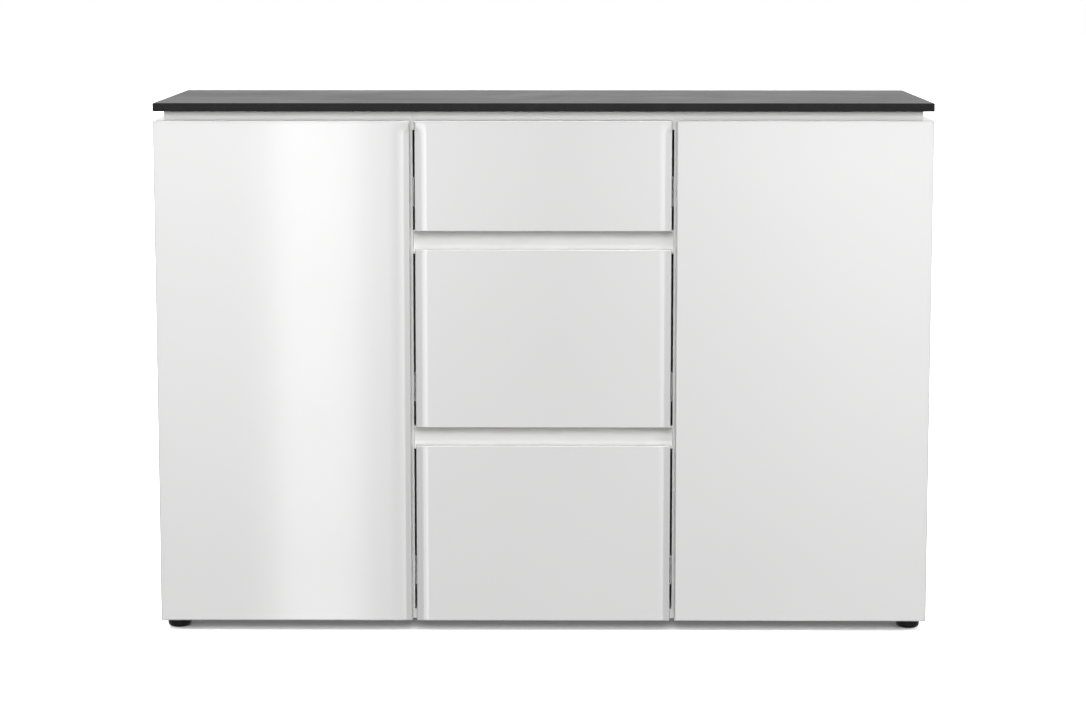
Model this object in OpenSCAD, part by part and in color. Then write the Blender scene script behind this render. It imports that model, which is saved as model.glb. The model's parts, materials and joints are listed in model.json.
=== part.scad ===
// Sideboard with two doors, three drawers and a thin dark top that floats over a shadow recess.
// Origin: centre of the footprint on the floor. +X to the right, +Y to the back, +Z up, millimetres.

/* [Overall size] */
// Width over the top slab and over the three columns of fronts
cabinet_w = 1200; // [1160:10:1400]
// Depth from the face of the fronts to the back
cabinet_d = 400; // [390:5:460]
// Height of the doors, and of the drawer fronts taken together
fronts_h = 785; // [760:5:840]
// Clearance between the floor and the underside of the cabinet
floor_gap = 17; // [14:1:30]

/* [Top] */
// Thickness of the dark top slab
slab_t = 13; // [10:1:22]
// Height of the shadow recess between the fronts and the slab
recess_h = 14; // [10:1:24]

/* [Boards] */
// Thickness of the carcass boards
board_t = 15; // [15:1:18]
// Thickness of the door and drawer fronts
front_t = 16; // [16:1:19]
// Gap between the back of the fronts and the carcass
front_gap = 3; // [3:0.5:4]
// Thickness of the back panels
back_t = 3; // [3:0.5:5]
// Set-back of the side and rear spacer strips from the edge of the slab
spacer_inset = 15; // [10:1:20]

/* [Fronts] */
// Width of the drawer fronts
drawer_front_w = 396; // [360:2:420]
// Vertical joint between a door and the drawer fronts
joint_w = 8; // [4:1:10]
// Finger gap between two drawer fronts
finger_gap = 28; // [24:1:34]
// Height of the upper drawer front
upper_front_h = 171; // [165:1:190]
// Bevel milled behind every edge that fingers pull
grip_bevel = 6; // [4:1:6]
// Air between the end of a drawer front and the partition beside it, seen from the front
front_air = 4; // [2:0.5:5]

/* [Grip rails] */
// Height of the hollow of a grip rail
rail_hollow_h = 32; // [30:1:34]
// Depth of the hollow of a grip rail
rail_hollow_d = 7.5; // [5:0.5:10]
// Drop of a grip rail's middle below the middle of its finger gap
rail_drop = 4; // [3:0.5:5]
// Wall of a grip rail
rail_t = 2.5; // [2:0.5:3]

/* [Drawers] */
// Thickness of the drawer sides and back
drawer_side_t = 12; // [10:1:13]
// Thickness of the drawer bottoms
drawer_bottom_t = 6; // [4:1:8]
// Length of the drawer boxes and of their slides
drawer_l = 350; // [300:10:350]
// Set-back of the slides behind the front of the carcass
slide_setback = 20; // [3:1:20]
// Height of the upper drawer box
upper_box_h = 115; // [90:5:115]
// Height of the middle and lower drawer boxes
deep_box_h = 200; // [150:5:205]

/* [Feet] */
// Diameter of a foot
foot_d = 37; // [32:1:42]
// Distance from a corner foot's centre to the cabinet's side
foot_side = 24; // [22:1:30]
// Distance from a corner foot's centre to the front and back planes
foot_front = 38.5; // [38:0.5:50]

/* [Hidden] */
$fn = 64;

white = "#f2f2f0";
satin_white = "#e9e9e6";
charcoal = "#4a4a49";
black = "#141414";
steel = "#b8bbbf";
beech = "#d8b98c";

// Planes of the carcass
half_w = cabinet_w / 2;
front_y = -cabinet_d / 2;
back_y = cabinet_d / 2;
carcass_y = front_y + front_t + front_gap;
inner_back_y = back_y - back_t;
fronts_z0 = floor_gap;
fronts_z1 = floor_gap + fronts_h;
slab_z = fronts_z1 + recess_h;
side_in = half_w - board_t;
part_in = drawer_front_w / 2 + front_air;
part_out = part_in + board_t;
part_mid = (part_in + part_out) / 2;
bottom_z1 = fronts_z0 + board_t;
subtop_z0 = fronts_z1 - board_t;
door_x0 = drawer_front_w / 2 + joint_w;

// Drawer fronts and grip rails, upper to lower
deep_front_h = (fronts_h - upper_front_h - 2 * finger_gap) / 2;
front_z1 = [fronts_z1, fronts_z1 - upper_front_h - finger_gap, fronts_z0 + deep_front_h];
front_z0 = [fronts_z1 - upper_front_h, front_z1[1] - deep_front_h, fronts_z0];
rail_z = [front_z0[0] - finger_gap / 2 - rail_drop, front_z0[1] - finger_gap / 2 - rail_drop];
rail_half = rail_hollow_h / 2 + rail_t;
rail_r = (pow(rail_hollow_h / 2, 2) + pow(rail_hollow_d, 2)) / (2 * rail_hollow_d);
box_clear = 8;
box_z = [rail_z[0] + rail_half + box_clear, rail_z[1] + rail_half + box_clear, bottom_z1 + box_clear];
box_h = [upper_box_h, deep_box_h, deep_box_h];
box_y0 = front_y + front_t;
box_y1 = box_y0 + drawer_l;
bottom_lift = 10;

// Telescopic slides: three nested steel channels in a space of standard width
slide_t = 12.7;
box_x = part_in - slide_t;
slide_wall = 1.2;
slide_lift = 50;
slide_y0 = carcass_y + slide_setback;
slide_y1 = carcass_y + drawer_l - 2;
race_t = 3;

// Shelves and their pins
shelf_clear = 0.5;
shelf_y0 = carcass_y + 21;
shelf_y1 = inner_back_y - 5;
bay_h = subtop_z0 - bottom_z1;
shelf_pitch = (bay_h + board_t) / 3;
shelf_z = [bottom_z1 + 2 * shelf_pitch - board_t, bottom_z1 + shelf_pitch - board_t];
pin_r = 2.5;
pin_l = 8;
pin_y = [shelf_y0 + 30, shelf_y1 - 30];
pin_pitch = 32;

// Hinges: the axis lies inside the door, so the door clears the side panel as it turns
axis_in = 7.5;
axis_deep = 10;
axis_x = half_w - axis_in;
axis_y = front_y + front_t - axis_deep;
hinge_z = [fronts_z0 + 100, fronts_z1 - 100];
cup_r = 17.5;
cup_wall = 0.8;
cup_x = 13;
cup_deep = 13.2;
cup_floor = 0.7;
lip_r = 18.5;
lip_t = 1;
ear_x = cup_x + 9.5;
ear_z = 24;
hinge_pin_r = 1.4;
hinge_pin_half = 9;
boss_z = 6.5;
boss_half = 2.6;
running_gap = 0.08;
knuckle_r = 2.3;
knuckle_w = 10;
arm_t = 2.6;
arm_x = 13.3;
arm_wall = 3;
arm_end = 72;
plate_y = 50;
plate_screw_z = 16;
screw_r = 2;
bore_gap = 0.1;
arm_screw_y = 62;

// Dowels and feet
dowel_r = 4;
dowel_l = 30;
dowel_y = [-120, 0, 120];
foot_rim_r = 6;
stud_r = 4;
stud_z1 = floor_gap + 12;
corner_x = half_w - foot_side;
corner_y = cabinet_d / 2 - foot_front;
mid_foot_y = 45;
bumper_t = front_gap - 0.2;
bumper_r = 2.5;
e = 0.5;

module block(low, high) {
    translate(low) cube(high - low);
}

// Everything is drawn on the right; the left is its mirror image
module on_side(side) {
    if (side > 0) children();
    else mirror([1, 0, 0]) children();
}

module rod_x(x0, x1, y, z, r) {
    translate([x0, y, z]) rotate([0, 90, 0]) cylinder(h = x1 - x0, r = r);
}

module rod_y(x, y0, y1, z, r) {
    translate([x, y0, z]) rotate([-90, 0, 0]) cylinder(h = y1 - y0, r = r);
}

// Hinge frame: origin on the axis, +X into the cabinet, +Y to the back
module at_hinges() {
    for (z = hinge_z)
        translate([axis_x, axis_y, z]) mirror([1, 0, 0]) children();
}

// ---- Dowels, pins and the bores that take them ----

module side_dowels(r, l = dowel_l) {
    for (y = dowel_y, z = [bottom_z1 - board_t / 2, fronts_z1 - board_t / 2])
        rod_x(side_in + 10 - l, side_in + 10, y, z, r);
}

module partition_dowels(r) {
    for (y = dowel_y) {
        rod_x(part_mid - dowel_l / 2, part_mid + dowel_l / 2, y, fronts_z1 - board_t / 2, r);
        translate([part_mid, y, bottom_z1 - 10]) cylinder(h = dowel_l, r = r);
    }
}

module pin_bores(x0, x1) {
    for (z = shelf_z, y = pin_y, step = [-1, 0, 1])
        rod_x(x0, x1, y, z - pin_r + step * pin_pitch, pin_r);
}

module plate_screw_bores(depth) {
    at_hinges() for (z = [-plate_screw_z, plate_screw_z])
        rod_x(board_t - axis_in - depth, board_t - axis_in + e, plate_y, z, screw_r);
}

module stud_bore() {
    cylinder(h = stud_z1 - floor_gap + e, r = stud_r + bore_gap);
}
module stud_bores() {
    for (x = [-corner_x, corner_x], y = [-corner_y, corner_y])
        translate([x, y, floor_gap - e]) stud_bore();
    for (x = [-part_mid, part_mid])
        translate([x, mid_foot_y, floor_gap - e]) stud_bore();
}

// ---- Carcass ----

module top_slab() {
    color(charcoal) block([-half_w, front_y, slab_z], [half_w, back_y, slab_z + slab_t]);
}

module side_panel() {
    color(white) difference() {
        block([side_in, carcass_y, fronts_z0], [half_w, back_y, fronts_z1]);
        side_dowels(dowel_r);
        pin_bores(side_in - e, side_in + pin_l);
        plate_screw_bores(11);
    }
}
module side_panel_left() { on_side(-1) side_panel(); }
module side_panel_right() { on_side(1) side_panel(); }

module partition() {
    color(satin_white) difference() {
        block([part_in, carcass_y, bottom_z1], [part_out, inner_back_y, slab_z]);
        partition_dowels(dowel_r);
        pin_bores(part_out - pin_l, part_out + e);
    }
}
module partition_left() { on_side(-1) partition(); }
module partition_right() { on_side(1) partition(); }

module bottom_panel() {
    color(satin_white) difference() {
        block([-side_in, carcass_y, fronts_z0], [side_in, inner_back_y, bottom_z1]);
        for (side = [-1, 1]) on_side(side) {
            side_dowels(dowel_r);
            partition_dowels(dowel_r);
        }
        stud_bores();
    }
}

module subtop_side() {
    color(satin_white) difference() {
        block([part_out, carcass_y, subtop_z0], [side_in, inner_back_y, fronts_z1]);
        side_dowels(dowel_r);
        partition_dowels(dowel_r);
    }
}
module subtop_left() { on_side(-1) subtop_side(); }
module subtop_right() { on_side(1) subtop_side(); }

module subtop_center() {
    color(satin_white) difference() {
        block([-part_in, carcass_y, subtop_z0], [part_in, inner_back_y, fronts_z1]);
        for (side = [-1, 1]) on_side(side) partition_dowels(dowel_r);
    }
}

// Strips that carry the slab above the recess
module spacer_front_side() {
    color(satin_white) block([part_out, carcass_y, fronts_z1], [side_in, carcass_y + board_t, slab_z]);
}
module spacer_front_left() { on_side(-1) spacer_front_side(); }
module spacer_front_right() { on_side(1) spacer_front_side(); }
module spacer_front_center() {
    color(satin_white)
        block([-part_in, carcass_y, fronts_z1], [part_in, carcass_y + board_t, slab_z]);
}

module spacer_side() {
    color(satin_white)
        block([half_w - spacer_inset - board_t, carcass_y + board_t, fronts_z1],
              [half_w - spacer_inset, back_y - spacer_inset - board_t, slab_z]);
}
module spacer_side_left() { on_side(-1) spacer_side(); }
module spacer_side_right() { on_side(1) spacer_side(); }

module spacers_rear() {
    rear_y1 = back_y - spacer_inset;
    color(satin_white) {
        for (side = [-1, 1]) on_side(side)
            block([part_out, rear_y1 - board_t, fronts_z1], [half_w - spacer_inset, rear_y1, slab_z]);
        block([-part_in, rear_y1 - board_t, fronts_z1], [part_in, rear_y1, slab_z]);
    }
}

module back_panel(x0, x1) {
    color(white) block([x0, inner_back_y, fronts_z0], [x1, back_y, fronts_z1]);
}
module back_panel_left() { back_panel(-side_in, -part_mid); }
module back_panel_center() { back_panel(-part_mid, part_mid); }
module back_panel_right() { back_panel(part_mid, side_in); }

// Rail behind a finger gap, with a face that is hollowed to one arc
module grip_rail(z) {
    color(white)
        translate([-part_in, 0, z]) rotate([90, 0, 90]) linear_extrude(2 * part_in) difference() {
            translate([carcass_y, -rail_half]) square([rail_hollow_d + rail_t, 2 * rail_half]);
            translate([carcass_y + rail_hollow_d - rail_r, 0]) circle(rail_r, $fn = 128);
        }
}
module grip_rail_upper() { grip_rail(rail_z[0]); }
module grip_rail_lower() { grip_rail(rail_z[1]); }

module shelf(level) {
    color(satin_white)
        block([part_out + shelf_clear, shelf_y0, shelf_z[level]],
              [side_in - shelf_clear, shelf_y1, shelf_z[level] + board_t]);
}
module shelf_left_upper() { on_side(-1) shelf(0); }
module shelf_left_lower() { on_side(-1) shelf(1); }
module shelf_right_upper() { on_side(1) shelf(0); }
module shelf_right_lower() { on_side(1) shelf(1); }

module shelf_pins() {
    color(steel) for (side = [-1, 1]) on_side(side) for (z = shelf_z, y = pin_y) {
        rod_x(part_out - pin_l, part_out + pin_l, y, z - pin_r, pin_r);
        rod_x(side_in - pin_l, side_in + pin_l, y, z - pin_r, pin_r);
    }
}

module dowels() {
    color(beech) for (side = [-1, 1]) on_side(side) {
        side_dowels(dowel_r);
        partition_dowels(dowel_r);
    }
}

// Round foot with a rolled lower rim and a moulded stud
module foot() {
    r = foot_d / 2;
    rotate_extrude() {
        square([r - foot_rim_r, floor_gap]);
        translate([0, foot_rim_r]) square([r, floor_gap - foot_rim_r]);
        translate([r - foot_rim_r, foot_rim_r]) circle(foot_rim_r);
    }
    cylinder(h = stud_z1, r = stud_r);
}
module feet() {
    color(black) {
        for (x = [-corner_x, corner_x], y = [-corner_y, corner_y]) translate([x, y, 0]) foot();
        for (x = [-part_mid, part_mid]) translate([x, mid_foot_y, 0]) foot();
    }
}

// Soft discs that the closed fronts lie on
module bumpers() {
    color("lightgray") for (side = [-1, 1]) on_side(side) {
        for (x = [door_x0 + 20, part_in - 20], z = [bottom_z1 - board_t / 2, subtop_z0 + bumper_r + 1])
            rod_y(x, carcass_y - bumper_t, carcass_y, z, bumper_r);
    }
}

// ---- Hinges ----

module hinge_arm() {
    difference() {
        union() {
            cylinder(h = knuckle_w, r = knuckle_r, center = true);
            block([0, -arm_t / 2, -knuckle_w / 2], [arm_x + arm_wall, arm_t / 2, knuckle_w / 2]);
            block([arm_x, -arm_t / 2, -knuckle_w / 2], [arm_x + arm_wall, arm_end, knuckle_w / 2]);
        }
        cylinder(h = knuckle_w + 2, r = hinge_pin_r + running_gap, center = true);
        rod_x(arm_x - e, arm_x + arm_wall + e, arm_screw_y, 0, screw_r + bore_gap);
    }
}
module hinge_arms() {
    color(steel) for (side = [-1, 1]) on_side(side) at_hinges() hinge_arm();
}

// Cross-shaped mounting plate between the side panel and the arm
module hinge_plate() {
    wall_x = board_t - axis_in;
    difference() {
        union() {
            block([wall_x, 34, -6], [arm_x, arm_end, 6]);
            block([wall_x, plate_y - 7, -24], [wall_x + 2.2, plate_y + 7, 24]);
        }
        for (z = [-plate_screw_z, plate_screw_z])
            rod_x(wall_x - e, arm_x, plate_y, z, screw_r + bore_gap);
        rod_x(wall_x - e, arm_x + e, arm_screw_y, 0, screw_r + bore_gap);
    }
}
module hinge_plates() {
    color(steel) for (side = [-1, 1]) on_side(side) at_hinges() hinge_plate();
}

// Two screws hold the plate on the panel, and one holds the arm on the plate
module hinge_screws() {
    wall_x = board_t - axis_in;
    color(steel) for (side = [-1, 1]) on_side(side) at_hinges() {
        for (z = [-plate_screw_z, plate_screw_z]) {
            rod_x(wall_x - 11, wall_x + 2.2, plate_y, z, screw_r);
            rod_x(wall_x + 2.2, wall_x + 4, plate_y, z, 3.5);
        }
        rod_x(wall_x, arm_x + arm_wall, arm_screw_y, 0, screw_r);
        rod_x(arm_x + arm_wall, arm_x + arm_wall + 1.8, arm_screw_y, 0, 3.5);
    }
}

// Round cup sunk into the back of the door, with a lip and two screw ears
module hinge_cup() {
    cup_y0 = axis_deep - cup_deep;
    difference() {
        union() {
            rod_y(cup_x, cup_y0, axis_deep, 0, cup_r);
            rod_y(cup_x, axis_deep, axis_deep + lip_t, 0, lip_r);
            block([ear_x - 6, axis_deep, -ear_z - 6], [ear_x + 6, axis_deep + lip_t, ear_z + 6]);
        }
        difference() {
            rod_y(cup_x, cup_y0 + cup_floor, axis_deep + lip_t + e, 0, cup_r - cup_wall);
            for (end = [0, 1]) mirror([0, 0, end])
                block([-2 * boss_half, cup_y0, boss_z], [boss_half, boss_half, cup_r]);
        }
        cylinder(h = 2 * hinge_pin_half, r = hinge_pin_r, center = true);
        for (z = [-ear_z, ear_z]) rod_y(ear_x, axis_deep - e, axis_deep + lip_t + e, z, screw_r);
    }
}
module hinge_cups() { color(steel) at_hinges() hinge_cup(); }
module hinge_cups_left() { on_side(-1) hinge_cups(); }
module hinge_cups_right() { on_side(1) hinge_cups(); }

module hinge_pins() {
    color(steel) at_hinges() cylinder(h = 2 * hinge_pin_half, r = hinge_pin_r, center = true);
}
module hinge_pins_left() { on_side(-1) hinge_pins(); }
module hinge_pins_right() { on_side(1) hinge_pins(); }

// ---- Fronts ----

// Board with its back edge bevelled away at the top, at the bottom or at both
module front_board(x0, x1, z0, z1, bevel_top, bevel_bottom) {
    y1 = front_y + front_t;
    top = bevel_top ? grip_bevel : 0;
    bottom = bevel_bottom ? grip_bevel : 0;
    translate([x0, 0, 0]) rotate([90, 0, 90]) linear_extrude(x1 - x0)
        polygon([[front_y, z0], [y1 - bottom, z0], [y1, z0 + bottom], [y1, z1 - top],
                 [y1 - top, z1], [front_y, z1]]);
}

module door() {
    color(white) difference() {
        front_board(door_x0, half_w, fronts_z0, fronts_z1, true, false);
        at_hinges() rod_y(cup_x, axis_deep - cup_deep, axis_deep + e, 0, cup_r);
    }
}
module door_left() { on_side(-1) door(); }
module door_right() { on_side(1) door(); }

module drawer_front(drawer) {
    color(white)
        front_board(-drawer_front_w / 2, drawer_front_w / 2, front_z0[drawer], front_z1[drawer],
                    true, drawer < 2);
}
module front_upper() { drawer_front(0); }
module front_middle() { drawer_front(1); }
module front_lower() { drawer_front(2); }

// ---- Drawer boxes ----

module box_side(drawer) {
    color(satin_white)
        block([box_x - drawer_side_t, box_y0, box_z[drawer]],
              [box_x, box_y1, box_z[drawer] + box_h[drawer]]);
}
module box_side_left_upper() { on_side(-1) box_side(0); }
module box_side_right_upper() { on_side(1) box_side(0); }
module box_side_left_middle() { on_side(-1) box_side(1); }
module box_side_right_middle() { on_side(1) box_side(1); }
module box_side_left_lower() { on_side(-1) box_side(2); }
module box_side_right_lower() { on_side(1) box_side(2); }

module box_back(drawer) {
    inside_x = box_x - drawer_side_t;
    color(satin_white)
        block([-inside_x, box_y1 - drawer_side_t, box_z[drawer]],
              [inside_x, box_y1, box_z[drawer] + box_h[drawer]]);
}
module box_back_upper() { box_back(0); }
module box_back_middle() { box_back(1); }
module box_back_lower() { box_back(2); }

module box_bottom(drawer) {
    inside_x = box_x - drawer_side_t;
    color(satin_white)
        block([-inside_x, box_y0, box_z[drawer] + bottom_lift],
              [inside_x, box_y1 - drawer_side_t, box_z[drawer] + bottom_lift + drawer_bottom_t]);
}
module box_bottom_upper() { box_bottom(0); }
module box_bottom_middle() { box_bottom(1); }
module box_bottom_lower() { box_bottom(2); }

// ---- Telescopic slides ----

// Channel from x0 to x1, half as high as half_h, with its web on the side of web_x
module channel(x0, x1, half_h, web_right) {
    open_x0 = web_right ? x0 - e : x0 + slide_wall;
    open_x1 = web_right ? x1 - slide_wall : x1 + e;
    difference() {
        block([x0, slide_y0, -half_h], [x1, slide_y1, half_h]);
        block([open_x0, slide_y0 - e, slide_wall - half_h], [open_x1, slide_y1 + e, half_h - slide_wall]);
    }
}

module slide_at(drawer) {
    for (side = [-1, 1]) on_side(side)
        translate([0, 0, box_z[drawer] + slide_lift]) children();
}

module slide_cabinet_members() {
    color(steel) for (drawer = [0, 1, 2])
        slide_at(drawer) channel(part_in - 10, part_in, 22.5, true);
}

// Middle channel with the ball races on both sides of its flanges
module slide_mid(drawer) {
    race_y0 = slide_y0 + drawer_l / 2;
    color(steel) slide_at(drawer) {
        channel(part_in - 10.5, part_in - 2.4, 18.2, true);
        for (end = [-1, 1]) {
            outer_z = end > 0 ? 18.2 : -18.2 - race_t;
            inner_z = end > 0 ? 17 - race_t : -17;
            block([part_in - 8.5, race_y0, outer_z], [part_in - 5, slide_y1, outer_z + race_t]);
            block([part_in - 8.5, slide_y0, inner_z], [part_in - 5.5, race_y0, inner_z + race_t]);
        }
    }
}
module slide_mid_upper() { slide_mid(0); }
module slide_mid_middle() { slide_mid(1); }
module slide_mid_lower() { slide_mid(2); }

module slide_inner(drawer) {
    color(steel) slide_at(drawer) channel(box_x, box_x + 7.7, 13.4, false);
}
module slide_inner_upper() { slide_inner(0); }
module slide_inner_middle() { slide_inner(1); }
module slide_inner_lower() { slide_inner(2); }

top_slab();
side_panel_left();
side_panel_right();
partition_left();
partition_right();
bottom_panel();
subtop_left();
subtop_center();
subtop_right();
spacer_front_left();
spacer_front_center();
spacer_front_right();
spacer_side_left();
spacer_side_right();
spacers_rear();
back_panel_left();
back_panel_center();
back_panel_right();
grip_rail_upper();
grip_rail_lower();
shelf_left_upper();
shelf_left_lower();
shelf_right_upper();
shelf_right_lower();
shelf_pins();
feet();
dowels();
bumpers();
hinge_arms();
hinge_plates();
hinge_screws();
slide_cabinet_members();
door_left();
hinge_cups_left();
hinge_pins_left();
door_right();
hinge_cups_right();
hinge_pins_right();
front_upper();
box_side_left_upper();
box_side_right_upper();
box_back_upper();
box_bottom_upper();
slide_inner_upper();
slide_mid_upper();
front_middle();
box_side_left_middle();
box_side_right_middle();
box_back_middle();
box_bottom_middle();
slide_inner_middle();
slide_mid_middle();
front_lower();
box_side_left_lower();
box_side_right_lower();
box_back_lower();
box_bottom_lower();
slide_inner_lower();
slide_mid_lower();
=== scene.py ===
"""Looks of the sideboard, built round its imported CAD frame. Metres; fronts face -Y."""
import json
import math

import bmesh
import bpy
from mathutils import Matrix, Vector


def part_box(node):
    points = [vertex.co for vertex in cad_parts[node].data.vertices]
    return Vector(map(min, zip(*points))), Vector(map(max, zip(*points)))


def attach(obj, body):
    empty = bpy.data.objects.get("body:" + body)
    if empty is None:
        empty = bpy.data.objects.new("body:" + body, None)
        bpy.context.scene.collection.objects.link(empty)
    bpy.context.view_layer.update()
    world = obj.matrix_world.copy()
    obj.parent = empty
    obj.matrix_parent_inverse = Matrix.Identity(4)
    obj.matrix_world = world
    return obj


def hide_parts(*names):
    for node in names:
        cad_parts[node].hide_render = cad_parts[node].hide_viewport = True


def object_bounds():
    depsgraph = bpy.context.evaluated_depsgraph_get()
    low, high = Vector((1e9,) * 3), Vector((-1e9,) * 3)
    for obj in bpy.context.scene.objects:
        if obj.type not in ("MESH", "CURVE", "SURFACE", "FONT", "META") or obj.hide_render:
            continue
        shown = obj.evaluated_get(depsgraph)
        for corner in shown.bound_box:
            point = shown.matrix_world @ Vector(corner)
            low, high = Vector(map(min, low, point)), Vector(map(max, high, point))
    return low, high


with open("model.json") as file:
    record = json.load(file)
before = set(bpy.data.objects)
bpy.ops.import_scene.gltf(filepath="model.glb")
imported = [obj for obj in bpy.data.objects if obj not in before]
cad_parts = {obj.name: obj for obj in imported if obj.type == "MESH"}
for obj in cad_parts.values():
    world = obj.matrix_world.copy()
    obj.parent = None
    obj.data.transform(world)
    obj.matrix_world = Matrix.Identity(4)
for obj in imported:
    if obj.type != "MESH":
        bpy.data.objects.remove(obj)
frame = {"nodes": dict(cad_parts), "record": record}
cad_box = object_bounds()

MM = 0.001
BODIES = frame["record"]["behaviour"]["bodies"]
BODY_OF = {node: body for body, nodes in BODIES.items() for node in nodes}
SLOT_OF = {s["node"]: s["material_slot"] for s in frame["record"]["subparts"]}


def new_object(name, data):
    made = bpy.data.objects.new(name, data)
    bpy.context.scene.collection.objects.link(made)
    return made


# ---------------------------------------------------------------- camera
CAMERA_DISTANCE = 4.18     # from the plane of the fronts
CAMERA_X = 0.027
CAMERA_OVER_TOP = 0.2326
SENSOR_WIDTH = 36.0        # mm, as FOCAL
FOCAL = 90.33
SHIFT_Y = -0.06
PITCH = math.radians(7.25)
YAW = math.radians(0.375)
CLIP_NEAR, CLIP_FAR = 0.05, 100


def make_camera():
    low, high = cad_box
    cam = new_object("camera", bpy.data.cameras.new("camera"))
    cam.data.sensor_width = SENSOR_WIDTH
    cam.data.lens = FOCAL
    cam.data.shift_y = SHIFT_Y
    cam.location = (CAMERA_X, low.y - CAMERA_DISTANCE, high.z + CAMERA_OVER_TOP)
    cam.rotation_euler = (math.pi / 2 - PITCH, 0, YAW)
    cam.data.clip_start, cam.data.clip_end = CLIP_NEAR, CLIP_FAR
    bpy.context.scene.camera = cam


make_camera()


# ---------------------------------------------------------------- materials
class Nodes:
    """A node tree under construction. An input is a constant or the socket to link from."""

    def __init__(self, tree):
        self.tree = tree
        tree.nodes.clear()

    def add(self, kind, inputs=None, **settings):
        node = self.tree.nodes.new(kind)
        for key, value in settings.items():
            setattr(node, key, value)
        for key, value in (inputs or {}).items():
            if isinstance(value, bpy.types.NodeSocket):
                self.tree.links.new(value, node.inputs[key])
            else:
                node.inputs[key].default_value = value
        return node

    def ramp(self, fac, stops):
        node = self.add("ShaderNodeValToRGB", {"Fac": fac})
        elements = node.color_ramp.elements
        while len(elements) < len(stops):
            elements.new(0.5)
        for element, (place, colour) in zip(elements, stops):
            element.position = place
            element.color = (*colour[:3], 1)
        return node.outputs["Color"]


def grey(value):
    return (value, value, value, 1)


def start_material(name):
    mat = bpy.data.materials.new(name)
    mat.use_nodes = True
    n = Nodes(mat.node_tree)
    place = n.add("ShaderNodeTexCoord").outputs["Object"]
    return mat, n, place


def end_material(mat, n, inputs):
    shader = n.add("ShaderNodeBsdfPrincipled", inputs)
    n.add("ShaderNodeOutputMaterial", {"Surface": shader.outputs["BSDF"]})
    return mat


def noise(n, place, scale, detail=4.0, roughness=0.5, distortion=0.0):
    texture = n.add("ShaderNodeTexNoise", {
        "Vector": place, "Scale": scale, "Detail": detail,
        "Roughness": roughness, "Distortion": distortion})
    return texture.outputs["Fac"]


def bump(n, height, strength, distance, normal=None):
    inputs = {"Height": height, "Strength": strength, "Distance": distance}
    if normal is not None:
        inputs["Normal"] = normal
    return n.add("ShaderNodeBump", inputs).outputs["Normal"]


def gloss_white(name, low_value, high_value):
    """High-gloss lacquer: faint orange peel, faint haze from wiping."""
    mat, n, place = start_material(name)
    cloud = noise(n, place, 3.0, 2.0)
    colour = n.ramp(cloud, [(0.3, (low_value, low_value, low_value * 0.995)),
                            (0.7, (high_value, high_value, high_value * 0.995))])
    haze = noise(n, place, 14.0, 3.0)
    rough = n.ramp(haze, [(0.35, grey(0.045)), (0.75, grey(0.085))])
    peel = noise(n, place, 160.0, 2.0)
    normal = bump(n, peel, 0.035, 0.0006)
    return end_material(mat, n, {"Base Color": colour, "Roughness": rough, "Normal": normal,
                                 "Coat Weight": 1.0, "Coat Roughness": 0.03})


def satin_white(name, value, rough_value):
    """Melamine face with a fine pearl grain."""
    mat, n, place = start_material(name)
    cloud = noise(n, place, 6.0, 3.0)
    colour = n.ramp(cloud, [(0.3, (value * 0.985, value * 0.985, value * 0.97)),
                            (0.7, (value, value, value * 0.988))])
    grain = noise(n, place, 900.0, 3.0, 0.6)
    rough = n.ramp(grain, [(0.3, grey(rough_value - 0.06)), (0.7, grey(rough_value + 0.06))])
    normal = bump(n, grain, 0.12, 0.0003)
    return end_material(mat, n, {"Base Color": colour, "Roughness": rough, "Normal": normal,
                                 "Coat Weight": 0.6, "Coat Roughness": 0.2})


def slate():
    """Charcoal stone-look laminate: clouds, veins, fine speckle, and a satin surface."""
    mat, n, place = start_material("charcoal_slate")
    clouds = noise(n, place, 5.0, 6.0, 0.6, 0.6)
    broad = n.ramp(clouds, [(0.3, (0.006, 0.006, 0.0062)), (0.55, grey(0.009)),
                            (0.75, (0.013, 0.013, 0.0127))])
    vein_noise = noise(n, place, 7.0, 9.0, 0.7, 0.5)
    veins = n.ramp(vein_noise, [(0.46, grey(0.0)), (0.5, grey(0.55)), (0.54, grey(0.0))])
    veined = n.add("ShaderNodeMixRGB", {"Fac": veins, "Color1": broad, "Color2": grey(0.016)})
    speckle = n.ramp(noise(n, place, 420.0, 2.0, 0.7), [(0.62, grey(0.0)), (0.7, grey(0.6))])
    colour = n.add("ShaderNodeMixRGB", {"Fac": speckle, "Color1": veined.outputs["Color"],
                                        "Color2": grey(0.045)}).outputs["Color"]
    rough = n.ramp(clouds, [(0.3, grey(0.30)), (0.7, grey(0.40))])
    fine = bump(n, noise(n, place, 600.0, 3.0, 0.6), 0.10, 0.0004)
    normal = bump(n, vein_noise, 0.06, 0.0010, fine)
    return end_material(mat, n, {"Base Color": colour, "Roughness": rough, "Normal": normal,
                                 "IOR": 1.22})


def zinc_steel():
    """Zinc-plated steel with a fine spangle."""
    mat, n, place = start_material("zinc_steel")
    spangle = noise(n, place, 120.0, 4.0, 0.6)
    colour = n.ramp(spangle, [(0.3, (0.50, 0.51, 0.53)), (0.7, (0.66, 0.67, 0.69))])
    rough = n.ramp(spangle, [(0.3, grey(0.24)), (0.7, grey(0.38))])
    return end_material(mat, n, {"Base Color": colour, "Roughness": rough, "Metallic": 1.0,
                                 "Normal": bump(n, spangle, 0.08, 0.0003)})


def black_plastic():
    """Grained plastic of the feet."""
    mat, n, place = start_material("black_plastic")
    grain = noise(n, place, 1400.0, 2.0)
    cloud = noise(n, place, 40.0, 3.0)
    colour = n.ramp(cloud, [(0.3, grey(0.0035)), (0.7, grey(0.006))])
    rough = n.ramp(cloud, [(0.3, grey(0.38)), (0.7, grey(0.5))])
    return end_material(mat, n, {"Base Color": colour, "Roughness": rough, "IOR": 1.2,
                                 "Normal": bump(n, grain, 0.2, 0.0003)})


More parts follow.
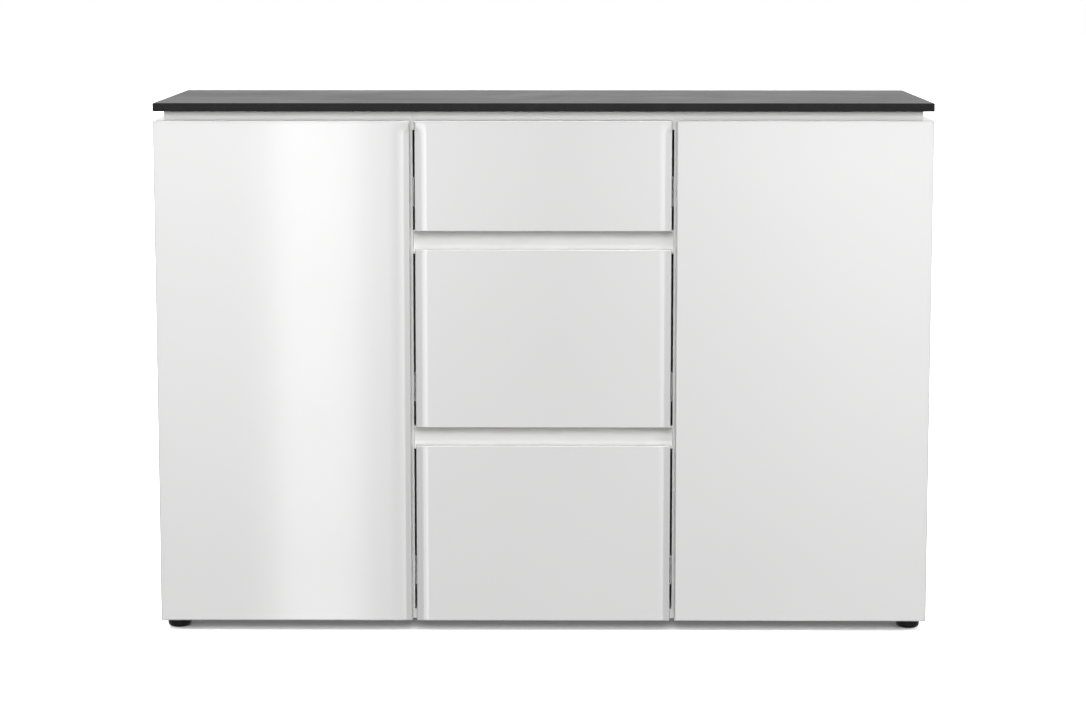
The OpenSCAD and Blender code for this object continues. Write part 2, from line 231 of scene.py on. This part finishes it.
def coated_rail():
    """White coated metal of the rails behind the finger gaps."""
    mat, n, place = start_material("coated_rail")
    cloud = noise(n, place, 12.0, 2.0)
    colour = n.ramp(cloud, [(0.3, (0.87, 0.87, 0.86)), (0.7, (0.89, 0.89, 0.88))])
    grain = noise(n, place, 700.0, 2.0)
    rough = n.ramp(grain, [(0.3, grey(0.28)), (0.7, grey(0.36))])
    return end_material(mat, n, {"Base Color": colour, "Roughness": rough,
                                 "Normal": bump(n, grain, 0.06, 0.0003)})


def beech_wood():
    """Wood of the dowels."""
    mat, n, place = start_material("beech")
    grain = noise(n, place, 300.0, 4.0, 0.6, 0.8)
    colour = n.ramp(grain, [(0.3, (0.46, 0.29, 0.15)), (0.7, (0.64, 0.45, 0.26))])
    return end_material(mat, n, {"Base Color": colour, "Roughness": 0.6,
                                 "Normal": bump(n, grain, 0.2, 0.0004)})


def soft_bumper():
    """Milky soft discs."""
    mat, n, place = start_material("soft_bumper")
    cloud = noise(n, place, 200.0, 2.0)
    colour = n.ramp(cloud, [(0.3, grey(0.62)), (0.7, grey(0.72))])
    return end_material(mat, n, {"Base Color": colour, "Roughness": 0.25, "Subsurface Weight": 0.3,
                                 "Subsurface Radius": (0.002, 0.002, 0.002)})


MATERIALS = {
    "fronts": gloss_white("gloss_fronts", 0.765, 0.78),
    "gloss_carcass": gloss_white("gloss_sides", 0.765, 0.78),
    "carcass": satin_white("melamine", 0.80, 0.42),
    "backs": satin_white("hardboard", 0.76, 0.5),
    "top": slate(),
    "rail": coated_rail(),
    "steel": zinc_steel(),
    "foot": black_plastic(),
    "beech": beech_wood(),
    "bumper": soft_bumper(),
}

for name, node in frame["nodes"].items():
    node.data.materials.clear()
    node.data.materials.append(MATERIALS[SLOT_OF[name]])


# ---------------------------------------------------------------- pieces
WELD = 1e-6                       # vertices closer than this are one
FLAT_ANGLE = math.radians(1.0)    # faces that meet flatter than this are one
SHARP_ANGLE = math.radians(35)    # edges sharper than this get rounded


def cad_copy(node):
    """A CAD node's shape to work on, with its triangles merged into whole faces."""
    bm = bmesh.new()
    bm.from_mesh(frame["nodes"][node].data)
    bmesh.ops.remove_doubles(bm, verts=bm.verts, dist=WELD)
    bmesh.ops.dissolve_limit(bm, angle_limit=FLAT_ANGLE, verts=bm.verts, edges=bm.edges)
    return bm


def make_piece(name, bm, body, slot, smooth):
    """Turns bm into a piece that rides on the body and has the slot's material."""
    mesh = bpy.data.meshes.new(name)
    bmesh.ops.recalc_face_normals(bm, faces=bm.faces)
    bm.to_mesh(mesh)
    bm.free()
    for face in mesh.polygons:
        face.use_smooth = smooth
    piece = new_object(name, mesh)
    mesh.materials.append(MATERIALS[slot])
    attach(piece, body)
    return piece


def replace_node(name, bm, node):
    """Turns bm into a piece that stands for the CAD node, in its place and its material."""
    piece = make_piece(name, bm, BODY_OF[node], SLOT_OF[node], True)
    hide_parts(node)
    return piece


def weight_normals(piece):
    weighted = piece.modifiers.new("normals", "WEIGHTED_NORMAL")
    weighted.keep_sharp = True
    weighted.weight = 100


def softened(node, radius, segments=2):
    """A CAD node again with its sharp edges rounded, as an edge band or a pressed part is."""
    piece = replace_node(node + "_finish", cad_copy(node), node)
    rounding = piece.modifiers.new("edges", "BEVEL")
    rounding.width = radius
    rounding.segments = segments
    rounding.limit_method = "ANGLE"
    rounding.angle_limit = SHARP_ANGLE
    rounding.use_clamp_overlap = True
    rounding.harden_normals = False
    weight_normals(piece)


OUTER_EDGE = 1.2 * MM      # slab and outer panels
BOARD_EDGE = 0.9 * MM
SPACER_EDGE = 0.4 * MM
SHEET_EDGE = 0.25 * MM
for name in frame["nodes"]:
    if name == "top_slab":
        softened(name, OUTER_EDGE, 4)
    elif SLOT_OF[name] == "gloss_carcass":
        softened(name, OUTER_EDGE, 3)
    elif SLOT_OF[name] in ("carcass", "rail"):
        softened(name, SPACER_EDGE if "spacer" in name else BOARD_EDGE)
    elif SLOT_OF[name] in ("steel", "backs"):
        softened(name, SHEET_EDGE)


# ---------------------------------------------------------------- fronts
# A soft roll of a front's face next to a joint: how wide, how deep at the edge, how sudden
DOOR_ROLL = (34 * MM, 2.2 * MM, 3)
DRAWER_ROLL = (20 * MM, 1.2 * MM, 2)
ROLL_STEPS = 16
ROLL_FADE_H = 20 * MM      # height over which the roll fades out below the top of the fronts
EDGE_R = 1.8 * MM
EDGE_SEGMENTS = 5
CAD_TOP_OF_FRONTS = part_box("door_left")[1].z
X_AXIS, Z_AXIS = 0, 2
SLICE_SNAP = 1e-7          # a vertex this close to a slice lies on it


def slice_at(bm, axis, place):
    point = Vector((0, 0, 0))
    point[axis] = place
    normal = Vector((0, 0, 0))
    normal[axis] = 1
    geom = list(bm.verts) + list(bm.edges) + list(bm.faces)
    bmesh.ops.bisect_plane(bm, geom=geom, plane_co=point, plane_no=normal, dist=SLICE_SNAP)


def front_piece(node, rolled, roll):
    """A CAD front with rounded edges. rolled: the sides with a soft roll, -1 left, 1 right."""
    low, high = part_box(node)
    bm = cad_copy(node)
    rim = [e for e in bm.edges if all(abs(v.co.y - low.y) < WELD for v in e.verts)]
    bmesh.ops.bevel(bm, geom=rim, offset=EDGE_R, segments=EDGE_SEGMENTS, profile=0.5,
                    affect="EDGES")
    roll_w, roll_drop, roll_power = roll
    edge_x = {-1: low.x, 1: high.x}
    for side in rolled:
        for i in range(1, ROLL_STEPS + 1):
            inward = EDGE_R + (roll_w - EDGE_R) * i / ROLL_STEPS
            slice_at(bm, X_AXIS, edge_x[side] - side * inward)
    fades = bool(rolled) and abs(high.z - CAD_TOP_OF_FRONTS) < WELD
    if fades:
        for i in range(1, ROLL_STEPS + 1):
            slice_at(bm, Z_AXIS, high.z - EDGE_R - (ROLL_FADE_H - EDGE_R) * i / ROLL_STEPS)
    for v in bm.verts:
        if v.co.y > low.y + EDGE_R + WELD:
            continue
        drop = 0.0
        for side in rolled:
            near = max(0.0, 1 - abs(v.co.x - edge_x[side]) / roll_w)
            drop = max(drop, roll_drop * near ** roll_power)
        if fades:
            fade = min(1.0, (high.z - v.co.z) / ROLL_FADE_H)
            drop *= fade * fade * (3 - 2 * fade)
        v.co.y += drop
    weight_normals(replace_node(node + "_panel", bm, node))


front_piece("door_left", (1,), DOOR_ROLL)
front_piece("door_right", (), DOOR_ROLL)
for level_name in ("upper", "middle", "lower"):
    front_piece("front_" + level_name, (-1, 1), DRAWER_ROLL)


# ---------------------------------------------------------------- screws
SCREW_R = 3.6 * MM
SCREW_H = 1.1 * MM
SCREW_PROFILE = ((1, 0), (1, 0.45), (0.86, 0.85), (0.66, 1))  # shares of radius and height
SCREW_CORNERS = 24
CROSS_HALF = SCREW_R * 0.13     # half the width of an arm of the cross recess
CROSS_END = SCREW_R * 0.5
CROSS_DEPTH = SCREW_H * 0.6
CUP_EAR_IN = 30 * MM       # from the outer edge of the door to the line of the cup's screws
CUP_EAR_UP = 24 * MM       # from the middle of the cup to a screw
CUP_MIDDLE = 30 * MM       # from the end of the cups' box to the middle of the cup


def join_rings(bm, one, other):
    for k in range(len(one)):
        after = (k + 1) % len(one)
        bm.faces.new((one[k], one[after], other[after], other[k]))


def ring_edges(bm, ring):
    return [bm.edges.get((ring[k], ring[(k + 1) % len(ring)])) for k in range(len(ring))]


def screw_head(bm, place):
    """A flat-topped head with a cross recess, that faces +Y. place: centre of its seat."""
    turn = Vector((0, 1, 0)).to_track_quat("Z", "Y").to_matrix().to_4x4()
    seat = Matrix.Translation(place) @ turn
    angles = [2 * math.pi * k / SCREW_CORNERS for k in range(SCREW_CORNERS)]
    rings = []
    for radius_share, height_share in SCREW_PROFILE:
        radius, height = SCREW_R * radius_share, SCREW_H * height_share
        ring = [Vector((radius * math.cos(a), radius * math.sin(a), height)) for a in angles]
        rings.append([bm.verts.new(seat @ point) for point in ring])
    bm.faces.new(list(reversed(rings[0])))
    for one, other in zip(rings, rings[1:]):
        join_rings(bm, one, other)
    outline = []
    for quarter in range(4):
        turned = Matrix.Rotation(quarter * math.pi / 2, 4, "Z")
        for x, y in ((CROSS_END, -CROSS_HALF), (CROSS_END, CROSS_HALF), (CROSS_HALF, CROSS_HALF)):
            outline.append(turned @ Vector((x, y, SCREW_H)))
    rim = [bm.verts.new(seat @ point) for point in outline]
    deep = Vector((0, 0, CROSS_DEPTH))
    low_rim = [bm.verts.new(seat @ (point - deep)) for point in outline]
    join_rings(bm, rim, low_rim)
    bm.faces.new(low_rim)
    edges = ring_edges(bm, rings[-1]) + ring_edges(bm, rim)
    bmesh.ops.triangle_fill(bm, use_beauty=True, edges=edges)


def cup_screws(side, sign):
    """The two screws of each of a door's two hinge cups."""
    cups_low, cups_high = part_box("hinge_cups_" + side)
    door_low, door_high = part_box("door_" + side)
    outer = door_low.x if sign < 0 else door_high.x
    bm = bmesh.new()
    for middle in (cups_low.z + CUP_MIDDLE, cups_high.z - CUP_MIDDLE):
        for up in (-CUP_EAR_UP, CUP_EAR_UP):
            screw_head(bm, Vector((outer - sign * CUP_EAR_IN, cups_high.y, middle + up)))
    make_piece("cup_screws_" + side, bm, "door_" + side, "steel", False)


cup_screws("left", -1)
cup_screws("right", 1)


# ---------------------------------------------------------------- stage
FLOOR_HALF = 30.0
FLOOR_WHITE = 0.95


def make_stage():
    """A floor that neither the gloss nor the soft light sees: the panorama stands in for it."""
    bm = bmesh.new()
    bmesh.ops.create_grid(bm, x_segments=1, y_segments=1, size=FLOOR_HALF)
    mesh = bpy.data.meshes.new("floor")
    bm.to_mesh(mesh)
    bm.free()
    floor = new_object("floor", mesh)
    mat, n, _ = start_material("floor_white")
    shader = n.add("ShaderNodeBsdfDiffuse", {"Color": grey(FLOOR_WHITE)})
    n.add("ShaderNodeOutputMaterial", {"Surface": shader.outputs["BSDF"]})
    mesh.materials.append(mat)
    floor.visible_glossy = False
    floor.visible_diffuse = False
    return floor


floor = make_stage()


# ---------------------------------------------------------------- world
AMBIENT = 0.13             # radiance of the studio as the diffuse surfaces feel it
# Radiances as the gloss sees them, in a panorama of panels in front of the object
GLOSS_FRONT = 3.0
GLOSS_BAND = 2.2           # how much brighter the narrow panel is that shows on the left door
GLOSS_FALL = 1.6           # what the panels gain upwards and outwards
GLOSS_AROUND = 2.0
GLOSS_DARK = 1.1
GLOSS_CEILING = 7.0
GLOSS_BEHIND = 0.92
# Slope to the side, as X over distance, and radiance of the panels there
PANELS = (
    (-0.90, GLOSS_AROUND),
    (-0.34, GLOSS_DARK),
    (-0.18, GLOSS_DARK),
    (-0.155, GLOSS_FRONT * 1.18),
    (-0.120, GLOSS_FRONT * 1.15),
    (-0.110, GLOSS_FRONT + GLOSS_BAND * 0.3),
    (-0.1015, GLOSS_FRONT + GLOSS_BAND),
    (-0.0785, GLOSS_FRONT + GLOSS_BAND * 0.93),
    (-0.070, GLOSS_FRONT + GLOSS_BAND * 0.22),
    (-0.055, GLOSS_FRONT),
    (0.00, GLOSS_FRONT * 0.98),
    (0.06, GLOSS_FRONT),
    (0.142, GLOSS_FRONT * 1.15),
    (0.170, GLOSS_DARK),
    (0.34, GLOSS_DARK),
    (0.50, GLOSS_AROUND),
)
PANEL_UNIT = 10.0          # a ramp's colours stay below 1, so they hold radiance / 10
# Straight lines, clamped to 0..1: factor and offset of a slope
RAMP_LINE = (0.5, 0.5)         # of the slope to the side: -1..1 is the whole of the ramp
FALL_LINE = (6.5, 1.5)         # of the slope up: the gain, from 0 below the horizon to 1
OUTER_LINE = (8.0, 0.2)        # of the slope to the side: where the gain reaches
GROUND_LINE = (2.0, 1.7)       # of the slope up: the panels darken towards the ground
ABOVE_LINE = (-12.0, 0.6)      # of the slope up: the panels end above the horizon
CEILING_LINE = (1.8, -0.45)    # of the slope up: where the ceiling starts
GROUND_SHARE = 0.75            # how much of the panels the ground takes
ABOVE_SHARE = 0.8              # how much of the panels ends above
NEAREST = 0.001                # keeps the slopes finite
FRONT_FROM = 0.05              # a direction further forward than this sees the panorama


def make_world():
    """White studio for the eye and for soft light; a panorama of panels for the gloss."""
    world = bpy.data.worlds.new("studio")
    bpy.context.scene.world = world
    world.use_nodes = True
    n = Nodes(world.node_tree)

    def math_node(kind, *values, clamp=False):
        node = n.add("ShaderNodeMath", dict(enumerate(values)), operation=kind)
        node.use_clamp = clamp
        return node.outputs[0]

    def multiply(one, other):
        return math_node("MULTIPLY", one, other)

    def line(value, factor_and_offset):
        return math_node("MULTIPLY_ADD", value, *factor_and_offset, clamp=True)

    def dim(value, factor, share):
        """value, with the given share of it times factor."""
        return multiply(value, math_node("MULTIPLY_ADD", factor, share, 1 - share))

    def background(strength):
        node = n.add("ShaderNodeBackground", {"Color": grey(1.0), "Strength": strength})
        return node.outputs["Background"]

    def choose(fac, where_0, where_1):
        node = n.add("ShaderNodeMixShader", {"Fac": fac, 1: where_0, 2: where_1})
        return node.outputs[0]

    direction = n.add("ShaderNodeTexCoord").outputs["Generated"]
    axes = n.add("ShaderNodeSeparateXYZ", {"Vector": direction}).outputs
    forward = multiply(axes["Y"], -1.0)
    distance = math_node("MAXIMUM", forward, NEAREST)
    sideways = math_node("DIVIDE", axes["X"], distance)
    upward = math_node("DIVIDE", axes["Z"], distance)

    scale, offset = RAMP_LINE
    panels = n.ramp(line(sideways, RAMP_LINE), [
        (slope * scale + offset, grey(radiance / PANEL_UNIT)) for slope, radiance in PANELS])
    above = line(upward, ABOVE_LINE)
    beside = multiply(panels, PANEL_UNIT)
    beside = dim(beside, line(upward, GROUND_LINE), GROUND_SHARE)
    beside = dim(beside, above, ABOVE_SHARE)
    outer = line(math_node("ABSOLUTE", sideways), OUTER_LINE)
    lift = multiply(multiply(line(upward, FALL_LINE), outer), GLOSS_FALL)
    lift = multiply(lift, above)
    ceiling = multiply(line(upward, CEILING_LINE), GLOSS_CEILING)
    front = math_node("ADD", math_node("ADD", beside, lift), ceiling)
    is_front = math_node("GREATER_THAN", forward, FRONT_FROM)
    strength = n.add("ShaderNodeMix", {0: is_front, 2: GLOSS_BEHIND, 3: front},
                     data_type="FLOAT").outputs[0]

    path = n.add("ShaderNodeLightPath").outputs
    lighting = choose(path["Is Glossy Ray"], background(AMBIENT), background(strength))
    surface = choose(path["Is Camera Ray"], lighting, background(1.0))
    n.add("ShaderNodeOutputWorld", {"Surface": surface})


make_world()


# ---------------------------------------------------------------- lights
LOW_AIM = (0, 0, 0.45)
# name: place, aim, width, height, power
SOFTBOXES = {
    "key": ((0.0, -6.5, 2.75), LOW_AIM, 2.4, 2.5, 212),
    "right": ((3.2, -3.2, 1.4), LOW_AIM, 1.6, 1.6, 26),
    "left_side": ((-4.0, 0.6, 1.6), LOW_AIM, 2.4, 2.0, 45),
    "right_side": ((4.0, 0.8, 1.6), LOW_AIM, 2.4, 2.0, 40),
    "behind": ((0.6, 4.6, 1.8), LOW_AIM, 3.0, 2.0, 75),
    "overhead": ((0.0, 0.2, 4.0), (0, 0, 0), 4.0, 3.0, 40),
}
FLOOR_LIGHT_ELEVATION = math.radians(50)
FLOOR_LIGHT_SPREAD = math.radians(60)
FLOOR_LIGHT_STRENGTH = 2.6


def softbox(name, place, aim, width, height, power):
    data = bpy.data.lights.new(name, "AREA")
    data.shape = "RECTANGLE"
    data.size, data.size_y = width, height
    data.energy = power
    light = new_object(name, data)
    light.location = place
    light.rotation_euler = (Vector(aim) - Vector(place)).to_track_quat("-Z", "Y").to_euler()
    light.visible_glossy = False


def light_the_floor():
    """Four broad lights that reach only the floor, which so stays white up to the shadow."""
    only = bpy.data.collections.new("floor_only")
    only.objects.link(floor)
    for quarter in range(4):
        data = bpy.data.lights.new("floor_light_%d" % quarter, "SUN")
        data.energy = FLOOR_LIGHT_STRENGTH
        data.angle = FLOOR_LIGHT_SPREAD
        light = new_object(data.name, data)
        light.rotation_euler = (math.pi / 2 - FLOOR_LIGHT_ELEVATION, 0, quarter * math.pi / 2)
        light.light_linking.receiver_collection = only


for name, settings in SOFTBOXES.items():
    softbox(name, *settings)
light_the_floor()
bpy.context.scene.view_settings.view_transform = "Standard"
